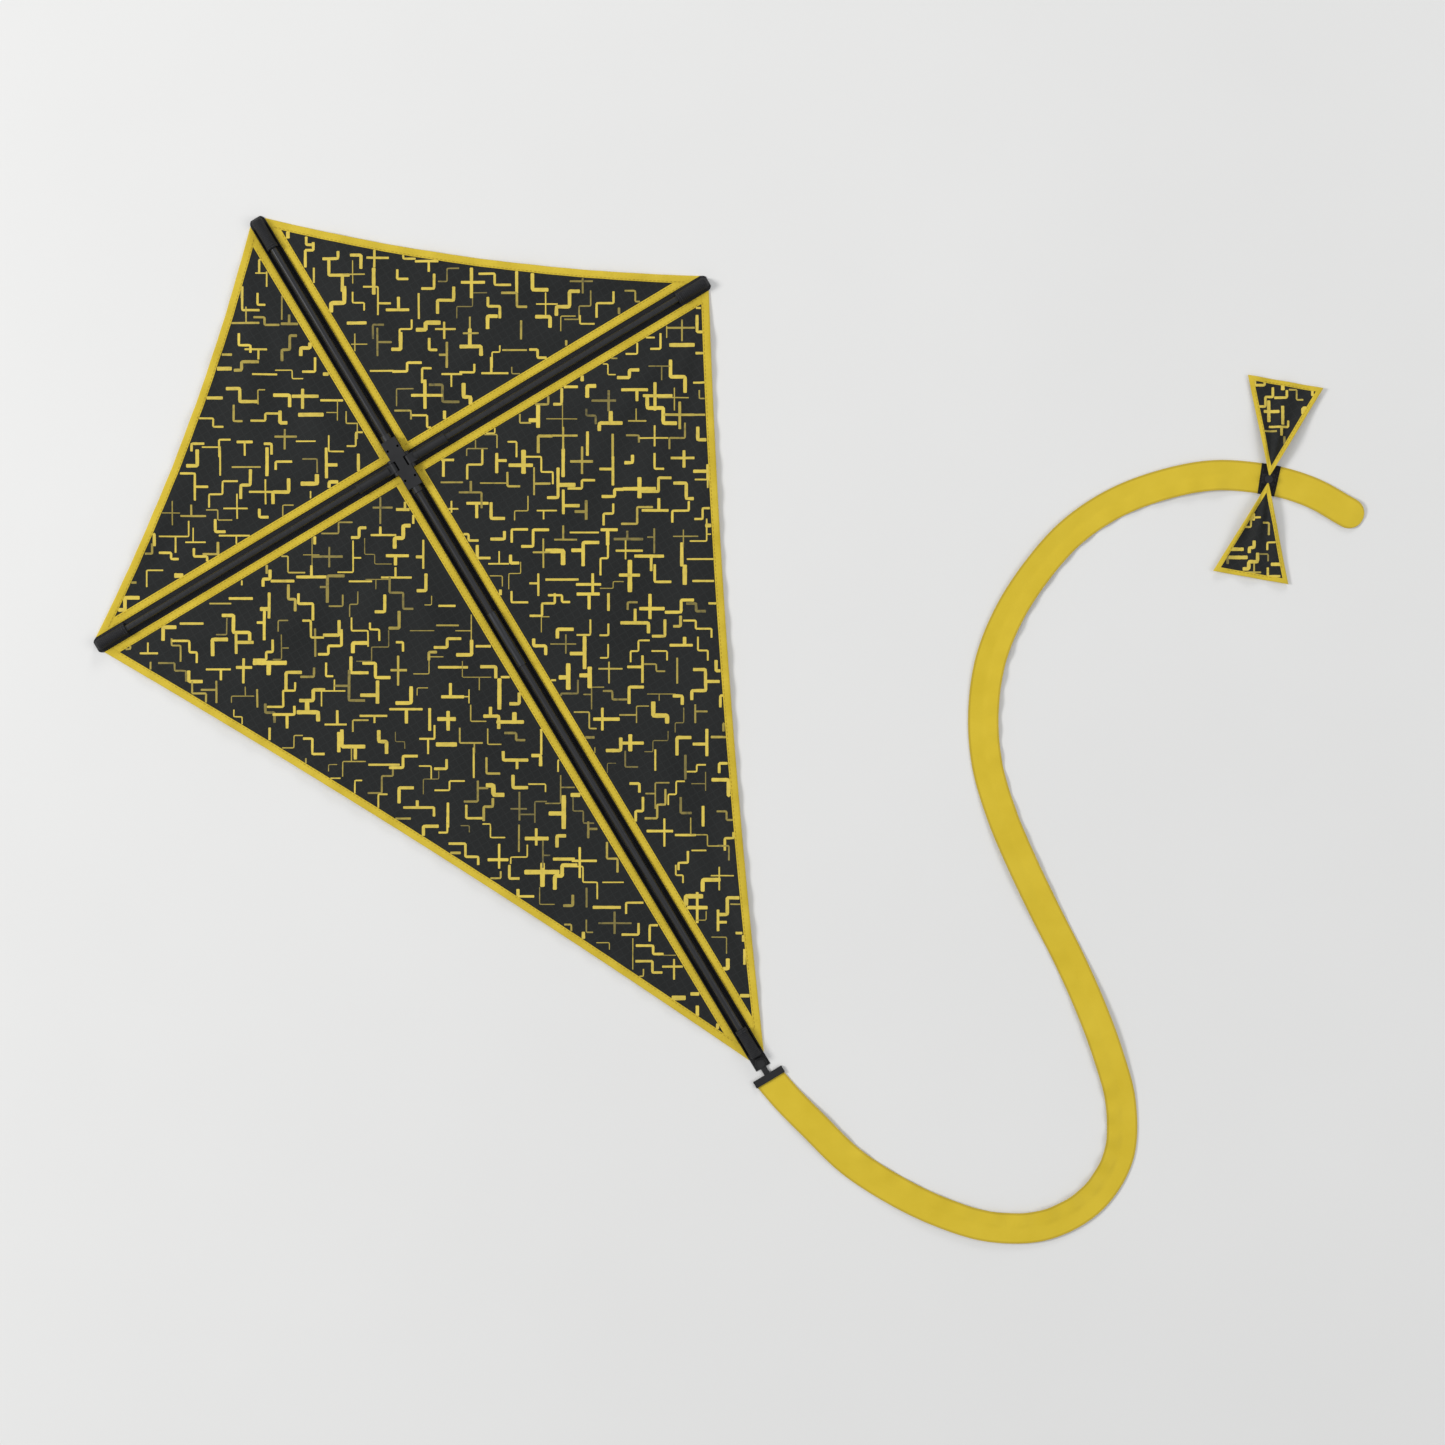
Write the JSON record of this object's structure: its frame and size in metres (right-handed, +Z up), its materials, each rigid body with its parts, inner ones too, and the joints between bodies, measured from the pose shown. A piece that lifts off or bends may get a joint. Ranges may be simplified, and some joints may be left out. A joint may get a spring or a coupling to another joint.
{
  "type": "diamond kite",
  "caption": "Folding diamond kite with four bound cloth panels on two crossed spars, and a swivelling ribbon tail that carries a bow.",
  "frame": {"origin": "under the crossing of the spars, on the surface that the kite lies on", "axes": "+Y along the spine to the nose, +X to the right wing tip seen from the frame side, +Z up from the sail to the frame"},
  "size_m": [0.9726, 1.057, 0.0092],
  "materials": {
    "sail_cloth": "woven charcoal sail cloth with a yellow print of short strokes",
    "yellow_tape": "stitched yellow edge tape",
    "black_webbing": "flat woven black webbing",
    "rod": "black pultruded fibreglass tube",
    "moulded": "fine textured black nylon",
    "vinyl": "soft black vinyl",
    "ferrule": "black anodised aluminium",
    "pin": "brushed steel",
    "ribbon": "yellow ribbon with woven edges"
  },
  "bodies": {
    "root": {"centre_strip": "black_webbing", "spine_upper": "rod", "spine_lower": "rod", "spine_ferrule": "ferrule", "nose_cap": "vinyl", "tail_cap": "vinyl", "nose_pocket": "black_webbing", "tail_pocket": "black_webbing", "hub": "moulded", "hub_stops": "vinyl", "hinge_pins": "pin", "tail_post": "pin"},
    "right_wing": {"right_hinge_arm": "moulded", "right_cross_spar": "rod", "right_tip_cap": "vinyl", "right_tip_pocket": "black_webbing", "right_cross_strip": "black_webbing", "right_upper_panel": "sail_cloth", "right_upper_binding": "yellow_tape", "right_upper_spine_tape": "yellow_tape", "right_upper_cross_tape": "yellow_tape", "right_lower_panel": "sail_cloth", "right_lower_binding": "yellow_tape", "right_lower_spine_tape": "yellow_tape", "right_lower_cross_tape": "yellow_tape"},
    "left_wing": {"left_hinge_arm": "moulded", "left_cross_spar": "rod", "left_tip_cap": "vinyl", "left_tip_pocket": "black_webbing", "left_cross_strip": "black_webbing", "left_upper_panel": "sail_cloth", "left_upper_binding": "yellow_tape", "left_upper_spine_tape": "yellow_tape", "left_upper_cross_tape": "yellow_tape", "left_lower_panel": "sail_cloth", "left_lower_binding": "yellow_tape", "left_lower_spine_tape": "yellow_tape", "left_lower_cross_tape": "yellow_tape"},
    "tail": {"tail_clip": "moulded", "ribbon_clamp": "moulded", "tail_ribbon": "ribbon", "bow_stud": "pin"},
    "bow": {"bow_knot": "black_webbing", "bow_upper": "sail_cloth", "bow_lower": "sail_cloth", "bow_upper_edging": "yellow_tape", "bow_lower_edging": "yellow_tape"}
  },
  "joints": [
    {"name": "right_wing_fold", "type": "hinge", "parent": "root", "child": "right_wing", "pos_m": [0.007, 0, 0.0048], "axis": [0, -1, 0], "range_deg": [0, 90]},
    {"name": "left_wing_fold", "type": "hinge", "parent": "root", "child": "left_wing", "pos_m": [-0.007, 0, 0.0048], "axis": [0, 1, 0], "range_deg": [0, 90]},
    {"name": "tail_swivel", "type": "hinge", "parent": "root", "child": "tail", "pos_m": [0, -0.575, 0.001], "axis": [0, 0, 1], "range_deg": [-90, 28]},
    {"name": "bow_swivel", "type": "hinge", "parent": "tail", "child": "bow", "pos_m": [0.605, -0.377, 0.002], "axis": [0, 0, 1], "range_deg": [-25, 25]}
  ]
}
